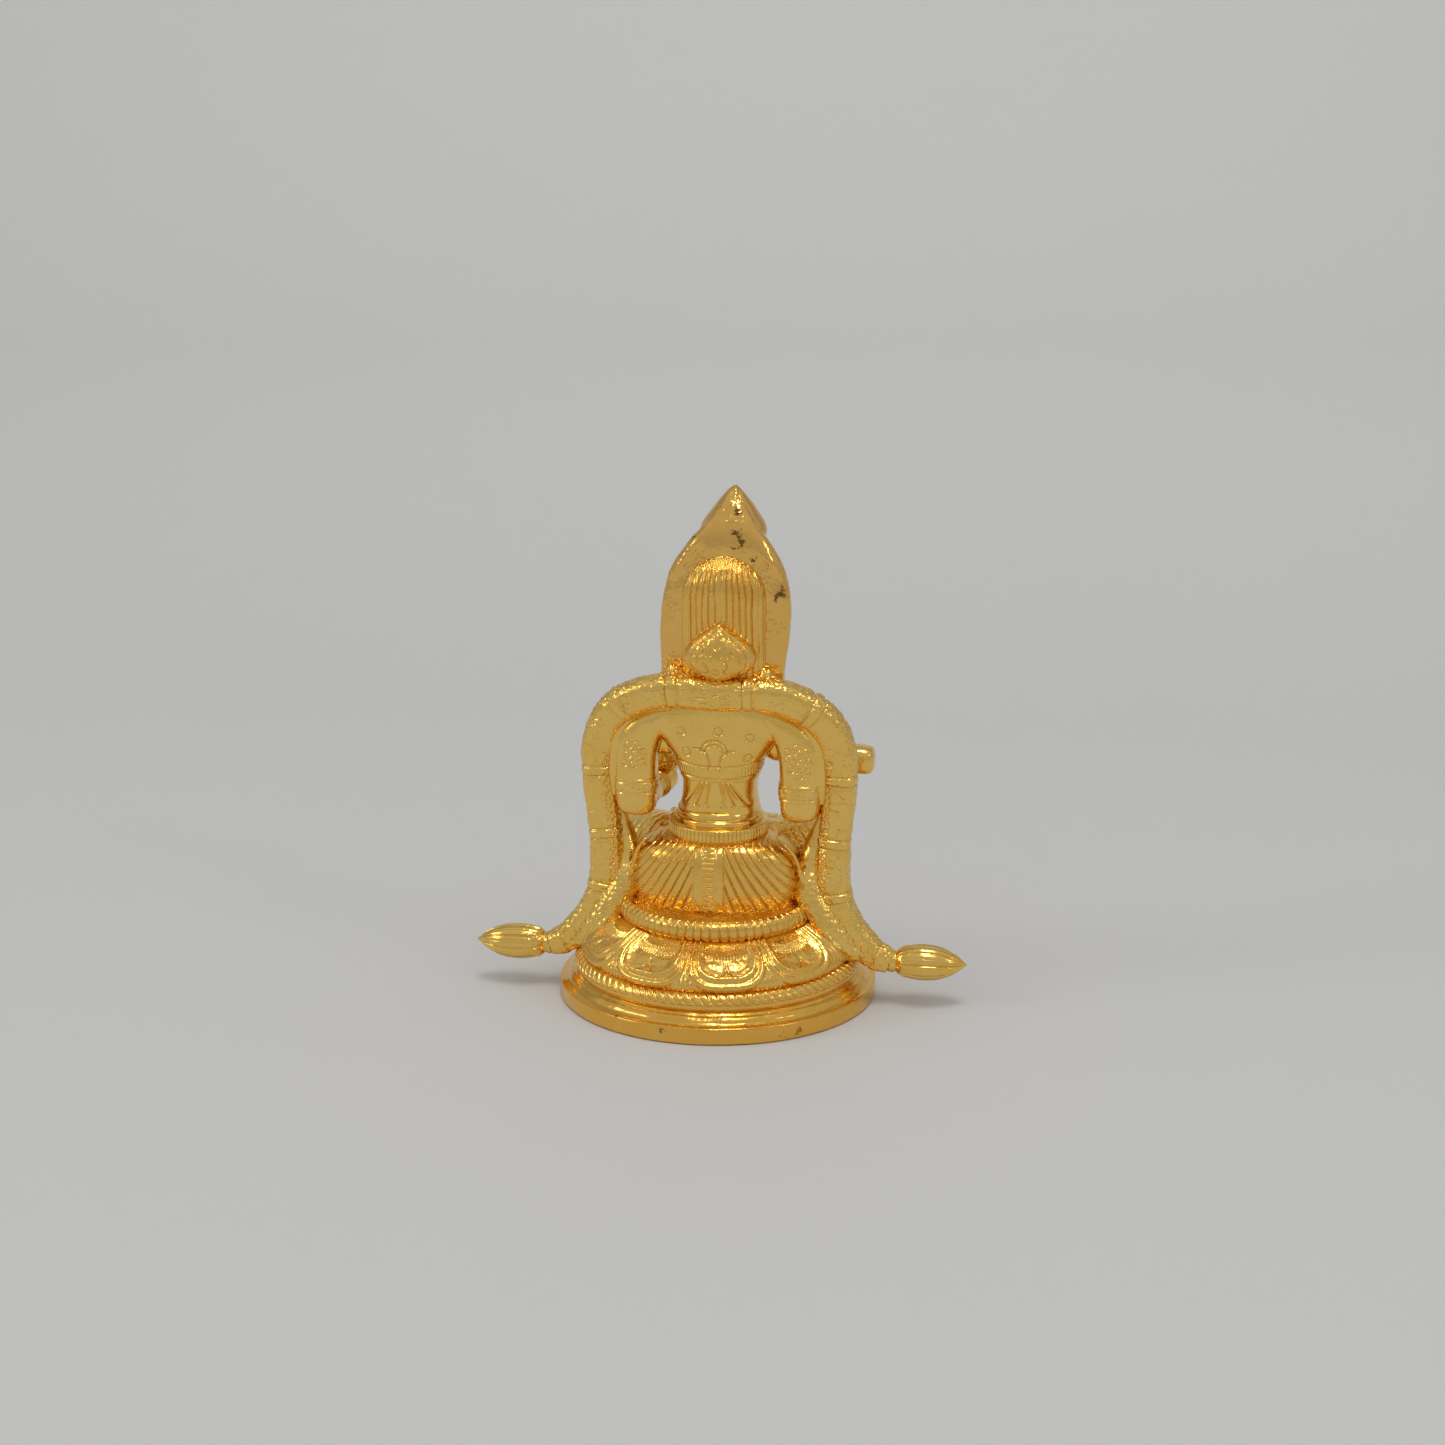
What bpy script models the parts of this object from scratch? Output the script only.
"""Small gold-plated brass idol: a seated goddess on a round lotus pedestal.

The figure faces -Y and its back is towards +Y, +Z is up, and its left hand is at +X.
The origin is the middle of the object's box at the level of its flat foot. Sizes in the
constants are millimetres; meshes are made in metres.

Every form of the casting is its own closed body. Stacked forms meet across GAP, and a
form that wraps a neighbour is cut back from it by a cutter grown by GAP.
"""
import math

import bmesh
import bpy
from mathutils import Vector

MM = 0.001
GAP = 0.3

# Pedestal: a stack of turned forms on one axis, a little off the garland's middle.
PEDESTAL_X = 0.45
FOOT_RADIUS = 19.0
FOOT_RIM_HEIGHT = 2.2
FOOT_HEIGHT = 3.4
ROPE_RADIUS = 17.1
ROPE_HEIGHT = 1.6
LOTUS_BASE_RADIUS = 16.3
LOTUS_TOP_RADIUS = 12.0
LOTUS_HEIGHT = 4.3
PETAL_COUNT = 10
PETAL_RELIEF = 0.3
SEAT_RADIUS = 11.8
SEAT_HEIGHT = 2.1
ROUND_SIDES = 50

# Lower body, seated cross-legged on the pedestal.
SKIRT_HALF_WIDTH = 10.2
SKIRT_HALF_DEPTH = 7.5
SKIRT_HEIGHT = 7.5
PLEAT_COUNT = 20
PLEAT_DEPTH = 0.18
SKIRT_RINGS = 6
SASH_WIDTH = 4.2
BELT_X = 0.35
BELT_RADIUS = 6.1
BELT_HEIGHT = 1.6
BELT_FLUTES = 20
WAIST_RING_X = 0.25
WAIST_RING_RADIUS = 5.4
WAIST_RING_HEIGHT = 1.5
THIGH_RADIUS = 4.2
KNEE_X = 10.4
KNEE_Y = -6.8
KNEE_Z = 15.6

# Upper body. Above LEAN_START the figure leans to its own right by LEAN per millimetre.
WAIST_HALF_WIDTH = 4.6
WAIST_HALF_DEPTH = 3.9
TORSO_BASE = 27.9
CHEST_HALF_WIDTH = 7.0
CHEST_HALF_DEPTH = 4.5
SHOULDER_Z = 36.2
NECK_RADIUS = 2.4
NECK_TOP = 41.2
LEAN = 0.047
LEAN_START = 33.3

# Arms.
ARM_X = 9.8
ARM_Y = 2.0
ARM_RADIUS = 2.7
ARMLET_LOW = 25.5
ARMLET_HIGH = 27.5
ARMLET_RADIUS = 3.05
ELBOW_Z = 24.9
POT_CENTRE = (8.2, -7.2)
POT_PROFILE = ((1.0, 25.5, 0), (2.0, 26.2, 0), (2.3, 27.1, 0), (1.9, 28.0, 0), (1.2, 28.4, 0),
               (1.7, 28.9, 0))
LADLE_ROUTE = ((-17.4, -5.0, 28.3), (-15.4, -5.0, 28.4), (-14.9, -5.1, 28.5), (-10.6, -6.4, 28.9),
               (-5.6, -9.2, 29.3), (-4.2, -9.8, 29.5), (-3.0, -10.3, 29.6))
LADLE_RADII = (1.6, 1.65, 0.95, 0.8, 0.75, 1.6, 1.6)
FIST_Z = 28.3
FOREARM_RADII = (1.9, 1.6, 1.85)

# Garland: one thick rope of flowers over the shoulders, with a bud at each end.
GARLAND_RADIUS = 2.05
GARLAND_CURVE_STEPS = 3
GARLAND_SIDES = 10
YOKE_HALF_WIDTH = 10.4
GARLAND_COLLAR_RADIUS = 1.3
GARLAND_TAPER = 0.12
TASSEL_START = 20.2
TASSEL_TIP = 29.75
TASSEL_RADIUS = 2.0
TASSEL_Z = 5.4
TASSEL_Y = 1.5
TASSEL_RIBS = 8
TASSEL_RIB_DEPTH = 0.1
# (share of the tassel's length, share of its radius), from the collar to the point.
TASSEL_PROFILE = ((0.0, 0.62), (0.14, 0.66), (0.17, 0.5), (0.24, 0.72), (0.4, 0.97),
                  (0.55, 1.0), (0.72, 0.82), (0.88, 0.45), (1.0, 0.08))
# (distance from the middle, y, z) of the garland's middle line, from the nape to its collar.
GARLAND_HALF = ((0.0, 4.5, 38.6), (4.6, 4.5, 38.8), (7.6, 4.2, 38.4), (11.2, 3.2, 36.5),
                (13.8, 2.4, 33.4), (14.5, 1.9, 29.7), (14.4, 1.6, 26.2), (14.0, 1.5, 22.0),
                (13.7, 1.5, 18.0), (13.8, 1.5, 13.8), (14.9, 1.5, 10.4), (17.4, 1.5, 7.1),
                (TASSEL_START - 0.5, TASSEL_Y, TASSEL_Z + 0.1))

# Halo plate behind the head, hair relief on its back, head and crown in front.
HALO_FOOT = 40.75
HALO_HALF_WIDTH = 7.7
HALO_FOOT_HALF_WIDTH = 7.35
HALO_SPRING_Z = 45.0
HALO_TOP_Z = 56.9
HALO_FRONT_Y = -0.5
HALO_BACK_Y = 2.2
HAIR_HALF_WIDTH = 5.0
HAIR_FOOT = 41.0
HAIR_TOP = 54.6
BUN_HALF_WIDTH = 4.25
BUN_FOOT = 40.8
BUN_TOP = 47.6
BUN_BACK_Y = 7.2
HEAD_CENTRE = (-3.6, 45.0)
HEAD_RADII = (4.3, 4.3, 5.3)
HEAD_STEPS = 10
CROWN_FOOT = 49.0
CROWN_SHOULDER = 56.6
CROWN_TIP = 62.0
CROWN_FOOT_Y = -2.9
CROWN_TIP_Y = -1.6
# (z, radius) up the crown: three stepped tiers and the bud that ends it.
CROWN_PROFILE = ((CROWN_FOOT, 4.5), (50.4, 4.6), (50.6, 4.1), (52.0, 4.2), (52.2, 3.8),
                 (53.8, 3.8), (54.0, 3.5), (CROWN_SHOULDER - 0.6, 3.6), (CROWN_SHOULDER, 3.95),
                 (58.6, 3.0), (60.6, 1.75), (CROWN_TIP, 0.25))
EARRING_Y = -3.4
EARRING_Z = (43.4, 42.0)
EARRING_RADII = (0.7, 0.85)
NECKLACE_HALF_WIDTH = 4.4
NECKLACE_DROP = 3.6
NECKLACE_RADIUS = 0.65
NECKLACE_STEPS = 10

GOLD = (0.83, 0.58, 0.20)


def clear_scene():
    """Remove every object, so that the script can be run again."""
    for thing in list(bpy.data.objects):
        bpy.data.objects.remove(thing, do_unlink=True)


def gold(name, roughness):
    """Gold-plated brass: fully metallic, with the polish of one form."""
    finish = bpy.data.materials.new(name)
    finish.use_nodes = True
    shader = finish.node_tree.nodes["Principled BSDF"]
    shader.inputs["Base Color"].default_value = (*GOLD, 1.0)
    shader.inputs["Metallic"].default_value = 1.0
    shader.inputs["Roughness"].default_value = roughness
    return finish


def lean(z):
    """How far the figure's middle is off X = 0 at height z."""
    return -LEAN * max(z - LEAN_START, 0.0)


def body(name, rings, roughness=0.25, closed=False):
    """Skin a row of equal rings, with flat end caps, or as a closed loop of rings."""
    mesh = bpy.data.meshes.new(name)
    work = bmesh.new()
    rows = [[work.verts.new(Vector(point) * MM) for point in ring] for ring in rings]
    sides = len(rows[0])
    pairs = list(zip(rows, rows[1:]))
    if closed:
        pairs.append((rows[-1], rows[0]))
    for low, high in pairs:
        for side in range(sides):
            after = (side + 1) % sides
            work.faces.new((low[side], low[after], high[after], high[side]))
    if not closed:
        work.faces.new(rows[0][::-1])
        work.faces.new(rows[-1])
    bmesh.ops.recalc_face_normals(work, faces=work.faces)
    work.to_mesh(mesh)
    work.free()
    mesh.shade_smooth()
    mesh.set_sharp_from_angle(angle=math.radians(35.0))
    made = bpy.data.objects.new(name, mesh)
    made.data.materials.append(gold(name + "_gold", roughness))
    bpy.context.scene.collection.objects.link(made)
    return made


def level_ring(centre, z, half_width, half_depth, sides, waves=0, wave_depth=0.0):
    """A level ellipse of points, optionally fluted by a number of waves."""
    ring = []
    for step in range(sides):
        turn = 2.0 * math.pi * step / sides
        flute = wave_depth * math.cos(waves * turn)
        x = centre[0] + (half_width + flute) * math.cos(turn)
        y = centre[1] + (half_depth + flute) * math.sin(turn)
        ring.append((x, y, z))
    return ring


def turned(name, centre, profile, sides, waves=0, wave_depth=0.0, **look):
    """A turned form: (radius, z, share of the flute depth) from bottom to top."""
    rings = []
    for radius, z, share in profile:
        depth = wave_depth * share
        rings.append(level_ring(centre, z, radius, radius, sides, waves, depth))
    return body(name, rings, **look)


def tube_rings(points, radii, sides):
    """Rings square to a path, carried along it without twist."""
    path = [Vector(point) for point in points]
    side_way = None
    rings = []
    for index, point in enumerate(path):
        before = path[max(index - 1, 0)]
        after = path[min(index + 1, len(path) - 1)]
        ahead = (after - before).normalized()
        if side_way is None:
            reference = Vector((0.0, 1.0, 0.0))
            side_way = ahead.cross(reference).normalized()
        side_way = (side_way - ahead * side_way.dot(ahead)).normalized()
        up_way = ahead.cross(side_way)
        ring = []
        for step in range(sides):
            turn = 2.0 * math.pi * step / sides
            offset = side_way * math.cos(turn) + up_way * math.sin(turn)
            ring.append(tuple(point + offset * radii[index]))
        rings.append(ring)
    return rings


def limb(name, points, radii, sides=12, **look):
    """A round limb with domed ends, through points with a radius at each."""
    path = [Vector(point) for point in points]
    start = (path[0] - path[1]).normalized()
    end = (path[-1] - path[-2]).normalized()
    dome = ((0.94, 0.30), (0.78, 0.60), (0.42, 0.90))
    heads = [(path[0] + start * radii[0] * reach, radii[0] * size) for size, reach in dome]
    tails = [(path[-1] + end * radii[-1] * reach, radii[-1] * size) for size, reach in dome]
    rows = heads[::-1] + list(zip(path, radii)) + tails
    return body(name, tube_rings([row[0] for row in rows], [row[1] for row in rows], sides), **look)


def smooth_path(points, steps):
    """A Catmull-Rom curve through points, with a number of steps between each two."""
    knots = [Vector(point) for point in points]
    knots = [knots[0] * 2 - knots[1]] + knots + [knots[-1] * 2 - knots[-2]]
    curve = []
    for index in range(1, len(knots) - 2):
        before, start, end, after = knots[index - 1:index + 3]
        for step in range(steps):
            t = step / steps
            ease = start * 2 + (end - before) * t
            ease += (before * 2 - start * 5 + end * 4 - after) * t * t
            ease += (start * 3 - before - end * 3 + after) * t * t * t
            curve.append(ease * 0.5)
    curve.append(knots[-2])
    return curve


def cut_back(piece, *neighbours):
    """Cut a piece back from its neighbours, each grown by GAP."""
    for neighbour in neighbours:
        work = bmesh.new()
        work.from_mesh(neighbour.data)
        work.normal_update()
        grown = [vert.normal * GAP * MM * vert.calc_shell_factor() for vert in work.verts]
        for vert, offset in zip(work.verts, grown):
            vert.co += offset
        mesh = bpy.data.meshes.new(neighbour.name + "_grown")
        work.to_mesh(mesh)
        work.free()
        cutter = bpy.data.objects.new("cut_" + piece.name + "_" + neighbour.name, mesh)
        cutter.hide_render = True
        cutter.display_type = "WIRE"
        bpy.context.scene.collection.objects.link(cutter)
        boolean = piece.modifiers.new("clear_" + neighbour.name, "BOOLEAN")
        boolean.operation = "DIFFERENCE"
        boolean.solver = "EXACT"
        boolean.object = cutter


def make_pedestal():
    """Foot, rope ring, lotus petals and seat, stacked on one axis."""
    axis = (PEDESTAL_X, 0.0)
    foot = turned("pedestal_foot", axis, (
        (FOOT_RADIUS, 0.0, 0), (FOOT_RADIUS, FOOT_RIM_HEIGHT, 0),
        (FOOT_RADIUS - 0.3, FOOT_RIM_HEIGHT + 0.2, 0), (FOOT_RADIUS - 1.8, FOOT_HEIGHT, 0),
    ), ROUND_SIDES, roughness=0.18)
    low = FOOT_HEIGHT + GAP
    high = low + ROPE_HEIGHT
    rope = turned("rope_ring", axis, (
        (ROPE_RADIUS - 0.5, low, 0), (ROPE_RADIUS, low + 0.4, 1),
        (ROPE_RADIUS, high - 0.5, 1), (ROPE_RADIUS - 0.5, high, 0),
    ), ROUND_SIDES, waves=ROUND_SIDES // 2, wave_depth=0.08)
    low = high + GAP
    fall = LOTUS_BASE_RADIUS - LOTUS_TOP_RADIUS
    profile = [(LOTUS_BASE_RADIUS - 0.3, low, 0)]
    for step in range(5):
        turn = 0.5 * math.pi * step / 4
        radius = LOTUS_TOP_RADIUS + fall * math.cos(turn)
        z = low + 0.6 + (LOTUS_HEIGHT - 0.6) * math.sin(turn)
        profile.append((radius, z, math.cos(turn)))
    lotus = turned("lotus_pedestal", axis, profile, ROUND_SIDES,
                   waves=PETAL_COUNT, wave_depth=PETAL_RELIEF)
    low += LOTUS_HEIGHT + GAP
    high = low + SEAT_HEIGHT
    seat = turned("seat_ring", axis, (
        (SEAT_RADIUS - 0.5, low, 0), (SEAT_RADIUS, low + 0.5, 1),
        (SEAT_RADIUS, high - 0.5, 1), (SEAT_RADIUS - 0.6, high, 0),
    ), ROUND_SIDES, waves=ROUND_SIDES // 2, wave_depth=0.1)
    return foot, rope, lotus, seat, high


def skirt_half_size(share):
    """Half width and half depth of the skirt at a share of its height."""
    swell = math.sin(math.pi * min(share + 0.18, 1.0)) ** 0.5 if share < 0.32 else 1.0
    taper = 1.0 - 0.40 * max(share - 0.32, 0.0) ** 1.3 / 0.68 ** 1.3
    width = SKIRT_HALF_WIDTH * (0.6 + 0.4 * swell) * taper
    depth = SKIRT_HALF_DEPTH * (0.75 + 0.25 * swell) * (0.35 + 0.65 * taper)
    return width, min(depth, width)


def make_skirt(seat_top):
    """The pleated skirt over the hips, and the sash down the middle of its back."""
    low = seat_top + GAP
    rings = []
    for step in range(SKIRT_RINGS + 1):
        share = step / SKIRT_RINGS
        width, depth = skirt_half_size(share)
        z = low + SKIRT_HEIGHT * share
        rings.append(level_ring((PEDESTAL_X, 0.0), z, width, depth, 2 * PLEAT_COUNT,
                                PLEAT_COUNT, PLEAT_DEPTH * (1.0 - 0.7 * share)))
    skirt = body("skirt", rings)
    strip = []
    for step in range(SKIRT_RINGS + 1):
        share = 0.03 + 0.94 * step / SKIRT_RINGS
        _, depth = skirt_half_size(share)
        z = low + SKIRT_HEIGHT * share
        half = 0.5 * SASH_WIDTH * (1.0 - 0.25 * share)
        back = depth + 0.35
        strip.append([(PEDESTAL_X - half, depth - 0.9, z), (PEDESTAL_X + half, depth - 0.9, z),
                      (PEDESTAL_X + half, back - 0.15, z), (PEDESTAL_X, back, z),
                      (PEDESTAL_X - half, back - 0.15, z)])
    sash = body("back_sash", strip)
    cut_back(skirt, sash)
    return skirt, low + SKIRT_HEIGHT


def make_waist(skirt_top):
    """The fluted belt, the smooth waist ring and the drape gathered above them."""
    low = skirt_top + GAP
    high = low + BELT_HEIGHT
    belt = turned("belt_band", (BELT_X, 0.0), (
        (BELT_RADIUS - 0.4, low, 0), (BELT_RADIUS, low + 0.4, 1),
        (BELT_RADIUS, high - 0.4, 1), (BELT_RADIUS - 0.5, high, 0),
    ), 2 * BELT_FLUTES, waves=BELT_FLUTES, wave_depth=0.08)
    low = high + GAP
    high = low + WAIST_RING_HEIGHT
    turned("waist_ring", (WAIST_RING_X, 0.0), (
        (WAIST_RING_RADIUS - 0.3, low, 0), (WAIST_RING_RADIUS, low + 0.3, 0),
        (WAIST_RING_RADIUS - 0.1, low + 0.7, 0), (WAIST_RING_RADIUS - 0.4, low + 1.1, 0),
        (WAIST_RING_RADIUS - 1.0, high, 0),
    ), 32, roughness=0.15)
    low = high + GAP
    rings = []
    for step in range(5):
        share = step / 4
        pinch = 1.0 - 0.06 * math.sin(math.pi * share)
        z = low + (TORSO_BASE - GAP - low) * share
        centre = (0.15 * (1.0 - share), 0.2)
        rings.append(level_ring(centre, z, WAIST_HALF_WIDTH * pinch, WAIST_HALF_DEPTH * pinch, 24))
    body("waist_drape", rings)
    return belt


def torso_sections():
    """Level sections of the torso: z, middle Y, half width and half depth."""
    shoulder = CHEST_HALF_WIDTH
    return (
        (TORSO_BASE, 0.2, WAIST_HALF_WIDTH + 0.3, WAIST_HALF_DEPTH + 0.1),
        (TORSO_BASE + 1.5, 0.2, WAIST_HALF_WIDTH + 0.6, WAIST_HALF_DEPTH + 0.3),
        (31.5, 0.3, shoulder - 0.9, CHEST_HALF_DEPTH - 0.1),
        (32.8, 0.3, shoulder - 0.1, CHEST_HALF_DEPTH),
        (34.6, 0.3, shoulder, CHEST_HALF_DEPTH),
        (SHOULDER_Z, 0.1, shoulder - 1.0, CHEST_HALF_DEPTH - 0.8),
        (SHOULDER_Z + 0.9, -0.7, NECK_RADIUS + 1.2, NECK_RADIUS + 0.6),
        (SHOULDER_Z + 1.8, -1.4, NECK_RADIUS + 0.1, NECK_RADIUS),
        (NECK_TOP, -2.0, NECK_RADIUS, NECK_RADIUS - 0.1),
    )


def make_torso():
    """The chest in its blouse, with the neck."""
    rings = []
    for z, middle, width, depth in torso_sections():
        rings.append(level_ring((lean(z), middle), z, width, depth, 28))
    return body("torso", rings)


def make_arm(label, side, torso):
    """Upper arm with its armlet band; side is +1 for the figure's left arm."""
    arm = limb(label + "_upper_arm", (
        (side * (ARM_X - 1.1), ARM_Y - 0.6, 34.0), (side * (ARM_X - 0.4), ARM_Y - 0.1, 31.0),
        (side * ARM_X, ARM_Y, 28.0), (side * ARM_X, ARM_Y - 0.1, ELBOW_Z),
    ), (ARM_RADIUS + 0.3, ARM_RADIUS + 0.2, ARM_RADIUS, ARM_RADIUS - 0.4))
    centre = (side * ARM_X, ARM_Y)
    inner = ARM_RADIUS - 0.5
    rings = [level_ring(centre, z, radius, radius, 18) for radius, z in (
        (inner, ARMLET_LOW), (ARMLET_RADIUS - 0.1, ARMLET_LOW), (ARMLET_RADIUS, ARMLET_LOW + 1.0),
        (ARMLET_RADIUS - 0.1, ARMLET_HIGH), (inner, ARMLET_HIGH))]
    armlet = body(label + "_armlet", rings, closed=True)
    cut_back(arm, torso, armlet)
    return arm, armlet


def make_hands(arms, armlets):
    """Forearms with their hands, the ladle in the right and the pot in the left."""
    pot_x, pot_y = POT_CENTRE
    pot = turned("pot", POT_CENTRE, POT_PROFILE, 20)
    left = limb("left_forearm", (
        (ARM_X - 0.2, -0.6, ELBOW_Z - 0.3), (ARM_X - 0.7, -3.6, ELBOW_Z - 0.7),
        (pot_x, pot_y + 0.6, ELBOW_Z - 0.8)), FOREARM_RADII)
    cut_back(left, arms[0], armlets[0], pot)
    ladle = limb("ladle", LADLE_ROUTE, LADLE_RADII, sides=12)
    right = limb("right_forearm", (
        (-ARM_X + 0.1, -0.6, ELBOW_Z + 0.1), (-ARM_X - 0.2, -3.4, ELBOW_Z + 1.5),
        (-ARM_X - 0.7, -6.0, FIST_Z)), FOREARM_RADII)
    cut_back(right, arms[1], armlets[1], ladle)


def make_legs(skirt, belt, seat):
    """Thighs out to the knees and shins crossed in front, the right one above."""
    thighs = []
    for label, side in (("left", 1.0), ("right", -1.0)):
        thigh = limb(label + "_thigh", (
            (PEDESTAL_X + side * 5.0, -2.4, 16.3), (PEDESTAL_X * 0.5 + side * 7.9, -4.6, 16.2),
            (side * KNEE_X, KNEE_Y, KNEE_Z),
        ), (THIGH_RADIUS, THIGH_RADIUS, THIGH_RADIUS), sides=16)
        cut_back(thigh, skirt, belt, seat)
        thighs.append(thigh)
    lower = limb("left_shin", (
        (KNEE_X - 1.2, KNEE_Y - 2.0, 14.6), (3.5, -10.6, 14.3), (-3.4, -11.2, 14.2),
        (-6.2, -10.6, 14.3)), (2.3, 1.9, 1.5, 1.3))
    upper = limb("right_shin", (
        (-KNEE_X + 1.2, KNEE_Y - 1.6, 16.4), (-3.5, -9.6, 17.7), (3.2, -8.9, 18.9),
        (6.2, -8.0, 19.5)), (2.2, 1.8, 1.4, 1.2))
    cut_back(lower, thighs[0], thighs[1], seat)
    cut_back(upper, thighs[0], thighs[1], lower, skirt)


def garland_route(side):
    """The garland's middle line from the nape to the collar of its tassel."""
    return [(side * x, y, z) for x, y, z in GARLAND_HALF]


def make_garland(neighbours):
    """Yoke across the nape, a strand down each side, and the bud tassels."""
    halves = [smooth_path(garland_route(side), GARLAND_CURVE_STEPS) for side in (1.0, -1.0)]
    over = [[point for point in half if abs(point.x) <= YOKE_HALF_WIDTH and point.z > SHOULDER_Z]
            for half in halves]
    nape = over[1][::-1] + over[0][1:]
    radii = [GARLAND_RADIUS] * len(nape)
    yoke = body("garland_yoke", tube_rings(nape, radii, GARLAND_SIDES))
    strands = []
    for label, half, top in (("left", halves[0], over[0]), ("right", halves[1], over[1])):
        rest = half[len(top):]
        join = (rest[0] - top[-1]).normalized()
        rest[0] = top[-1] + join * GAP
        radii = [GARLAND_RADIUS * (1.0 - GARLAND_TAPER * index / len(rest))
                 for index in range(len(rest))]
        radii[-1] = GARLAND_COLLAR_RADIUS
        strand = body(label + "_garland_strand", tube_rings(rest, radii, GARLAND_SIDES))
        tassel = make_tassel(label, math.copysign(1.0, top[-1].x))
        cut_back(strand, yoke, tassel, *neighbours)
        strands.append(strand)
    return yoke, strands


def make_tassel(label, side):
    """A ribbed lotus bud on its side, collar first, ending in a point."""
    length = TASSEL_TIP - TASSEL_START
    rings = []
    for share, size in TASSEL_PROFILE:
        x = side * (TASSEL_START + length * share)
        rib = TASSEL_RIB_DEPTH if 0.2 < share < 0.95 else 0.0
        ring = []
        for step in range(2 * TASSEL_RIBS):
            turn = math.pi * step / TASSEL_RIBS
            radius = TASSEL_RADIUS * size + rib * math.cos(TASSEL_RIBS * turn)
            ring.append((x, TASSEL_Y + radius * math.cos(turn), TASSEL_Z + radius * math.sin(turn)))
        rings.append(ring)
    return body(label + "_tassel", rings, roughness=0.2)


def halo_half_width(z):
    """Half width of the halo plate: nearly straight sides under a pointed arch."""
    if z < HALO_SPRING_Z:
        share = (HALO_SPRING_Z - z) / (HALO_SPRING_Z - HALO_FOOT)
        return HALO_HALF_WIDTH - (HALO_HALF_WIDTH - HALO_FOOT_HALF_WIDTH) * share
    fall = 0.506 * ((z - HALO_SPRING_Z) / (HALO_TOP_Z - HALO_SPRING_Z)) ** 2.9
    return HALO_HALF_WIDTH * (1.0 - fall)


def upright_outline(half_width_at, low, high, steps):
    """Points (x, z) round an upright outline, up its +X side and down its -X side."""
    up = []
    for step in range(steps + 1):
        z = low + (high - low) * math.sin(0.5 * math.pi * step / steps)
        up.append((half_width_at(z), z))
    return up + [(-x, z) for x, z in reversed(up)]


def domed_plate(name, outline, layers, **look):
    """Stack copies of an upright outline along Y: (y, share of its size) per layer."""
    middle = 0.5 * (min(z for _, z in outline) + max(z for _, z in outline))
    rings = []
    for y, share in layers:
        rings.append([(x * share + lean(z), y, middle + (z - middle) * share) for x, z in outline])
    return body(name, rings, **look)


def arch_half_width(z):
    """Half width of the hair panel: straight sides under a round arch."""
    spring = HAIR_TOP - HAIR_HALF_WIDTH
    if z < spring:
        return HAIR_HALF_WIDTH
    return max(math.sqrt(max(HAIR_HALF_WIDTH ** 2 - (z - spring) ** 2, 0.0)), 0.3)


def bun_half_width(z):
    """Half width of the hair bun: round below, drawn to a point above."""
    share = (z - BUN_FOOT) / (BUN_TOP - BUN_FOOT)
    return max(BUN_HALF_WIDTH * math.sin(math.pi * share ** 0.75) ** 0.62, 0.3)


def make_halo():
    """Halo plate, with the combed hair and the bun raised on its back."""
    outline = upright_outline(halo_half_width, HALO_FOOT, HALO_TOP_Z, 12)
    front, back = HALO_FRONT_Y, HALO_BACK_Y
    halo = domed_plate("halo_arch", outline, (
        (front, 0.96), (front + 0.4, 1.0), (back - 0.7, 1.0), (back - 0.2, 0.97), (back, 0.93)),
        roughness=0.15)
    hair_outline = upright_outline(arch_half_width, HAIR_FOOT, HAIR_TOP, 9)
    start = back + GAP
    domed_plate("hair_panel", hair_outline, (
        (start, 1.0), (start + 0.9, 0.97), (start + 1.6, 0.88), (start + 2.0, 0.7)))
    bun_outline = upright_outline(bun_half_width, BUN_FOOT + 0.05, BUN_TOP - 0.05, 8)
    start += 2.0 + GAP
    swell = BUN_BACK_Y - start
    domed_plate("hair_bun", bun_outline, (
        (start, 0.95), (start + 0.3 * swell, 1.0), (start + 0.7 * swell, 0.86), (BUN_BACK_Y, 0.5)))
    return halo


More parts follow.
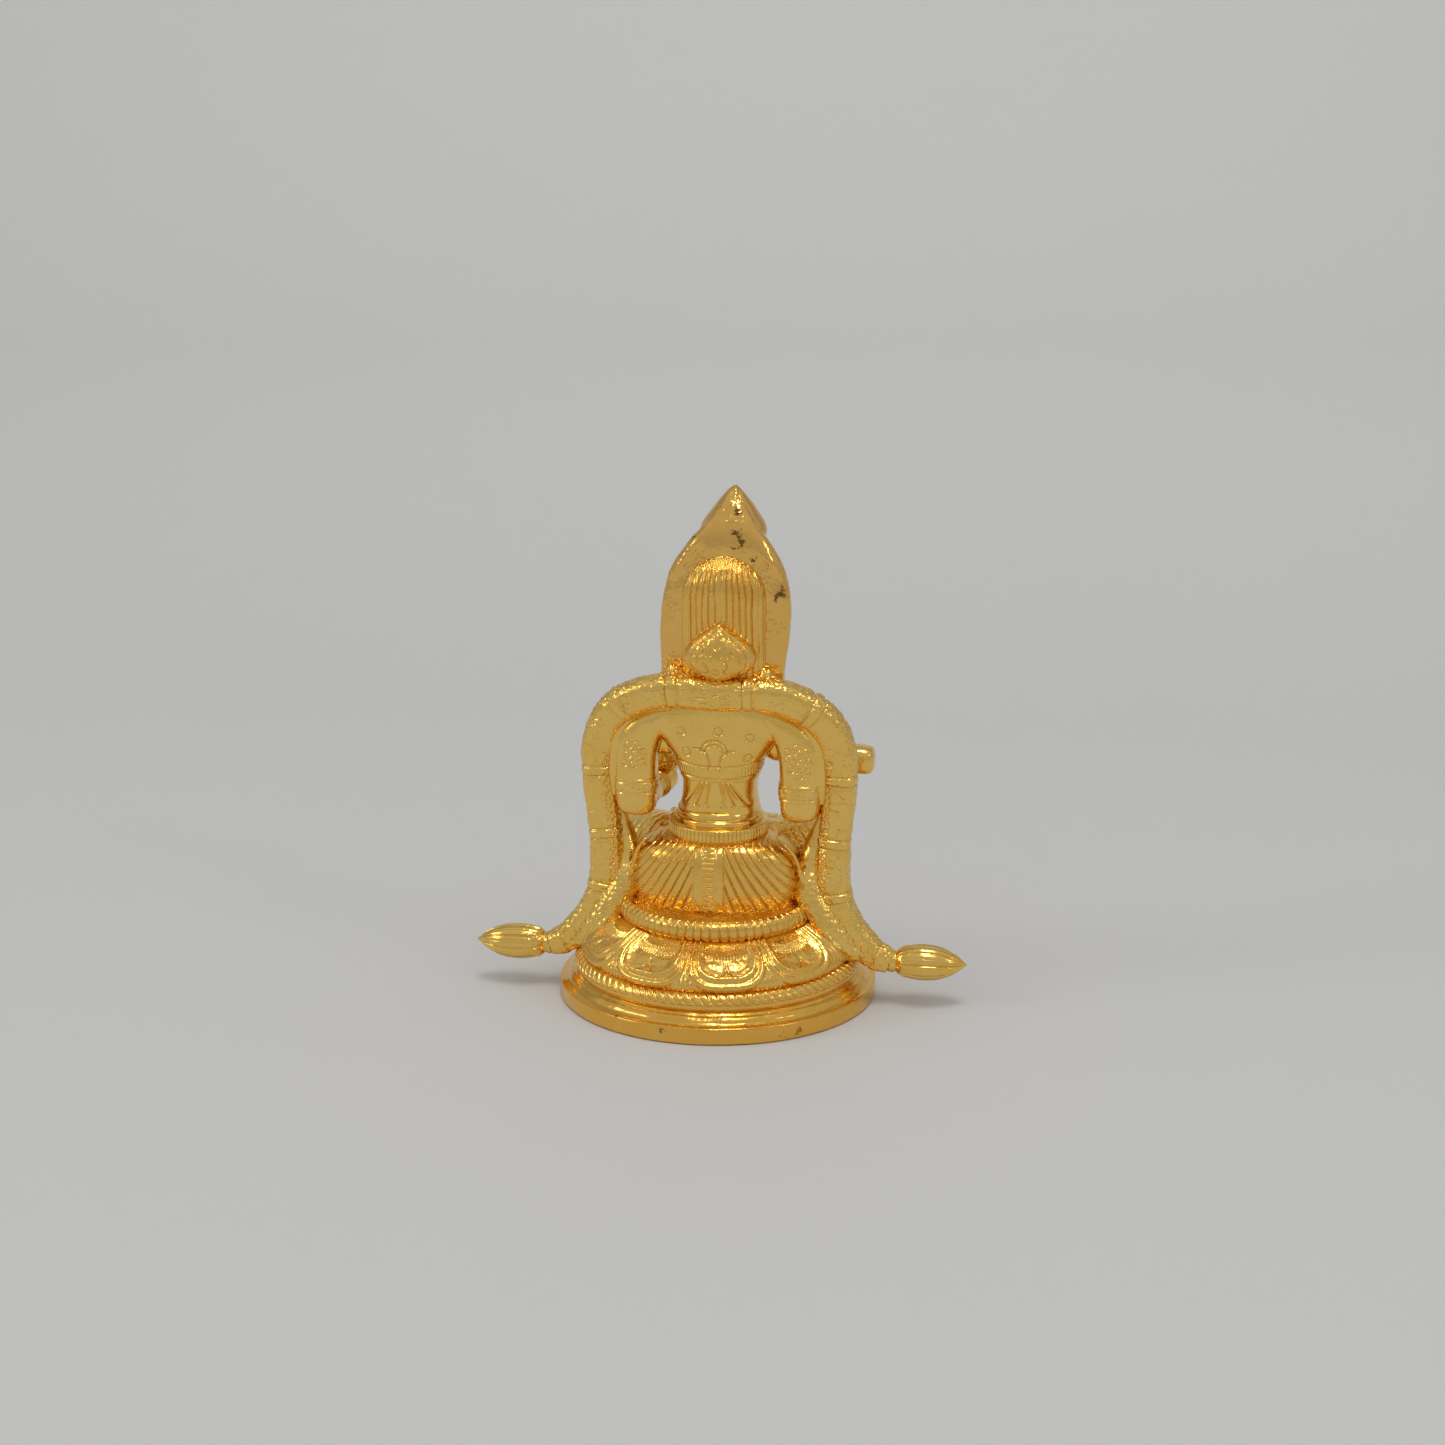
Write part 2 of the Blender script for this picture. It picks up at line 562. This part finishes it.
def make_head(halo, torso):
    """Head, tiered crown with its bud finial, and ear ornaments."""
    crown_rings = []
    for z, radius in CROWN_PROFILE:
        share = (z - CROWN_FOOT) / (CROWN_TIP - CROWN_FOOT)
        middle = CROWN_FOOT_Y + (CROWN_TIP_Y - CROWN_FOOT_Y) * share
        crown_rings.append(level_ring((lean(z), middle), z, radius, radius, 20))
    crown = body("crown", crown_rings)
    middle_y, middle_z = HEAD_CENTRE
    rings = []
    for step in range(1, HEAD_STEPS):
        turn = math.pi * (step / HEAD_STEPS - 0.5)
        z = middle_z + HEAD_RADII[2] * math.sin(turn)
        rings.append(level_ring((lean(middle_z), middle_y), z, HEAD_RADII[0] * math.cos(turn),
                                HEAD_RADII[1] * math.cos(turn), 20))
    head = body("head", rings)
    cut_back(crown, halo)
    cut_back(head, halo, torso, crown)
    for label, side in (("left", 1.0), ("right", -1.0)):
        x = lean(EARRING_Z[1]) + side * (HEAD_RADII[0] + 0.75)
        route = [(x, EARRING_Y, z) for z in EARRING_Z]
        limb(label + "_earring", route, EARRING_RADII, sides=10)


def make_necklace(torso):
    """A beaded necklace as one round band lying on the front of the chest."""
    points = []
    for step in range(NECKLACE_STEPS + 1):
        turn = math.pi * step / NECKLACE_STEPS
        reach = NECKLACE_HALF_WIDTH * math.cos(turn)
        z = SHOULDER_Z - 0.3 - NECKLACE_DROP * math.sin(turn)
        share = 1.0 - (reach / CHEST_HALF_WIDTH) ** 2
        y = 0.3 - (CHEST_HALF_DEPTH + 0.1 - 0.9 * (1.0 - math.sin(turn))) * math.sqrt(share)
        points.append((lean(SHOULDER_Z) + reach, y, z))
    necklace = body("necklace", tube_rings(points, [NECKLACE_RADIUS] * len(points), 10))
    cut_back(torso, necklace)


def main():
    """Build every form from the foot up."""
    clear_scene()
    foot, rope, lotus, seat, seat_top = make_pedestal()
    skirt, skirt_top = make_skirt(seat_top)
    belt = make_waist(skirt_top)
    make_legs(skirt, belt, seat)
    torso = make_torso()
    arms = []
    armlets = []
    for label, side in (("left", 1.0), ("right", -1.0)):
        arm, armlet = make_arm(label, side, torso)
        arms.append(arm)
        armlets.append(armlet)
    make_hands(arms, armlets)
    yoke, strands = make_garland((foot, rope, lotus, seat))
    for arm, armlet, strand in zip(arms, armlets, strands):
        cut_back(arm, yoke, strand)
        cut_back(armlet, strand)
    halo = make_halo()
    cut_back(torso, yoke, halo)
    make_head(halo, torso)
    make_necklace(torso)


main()
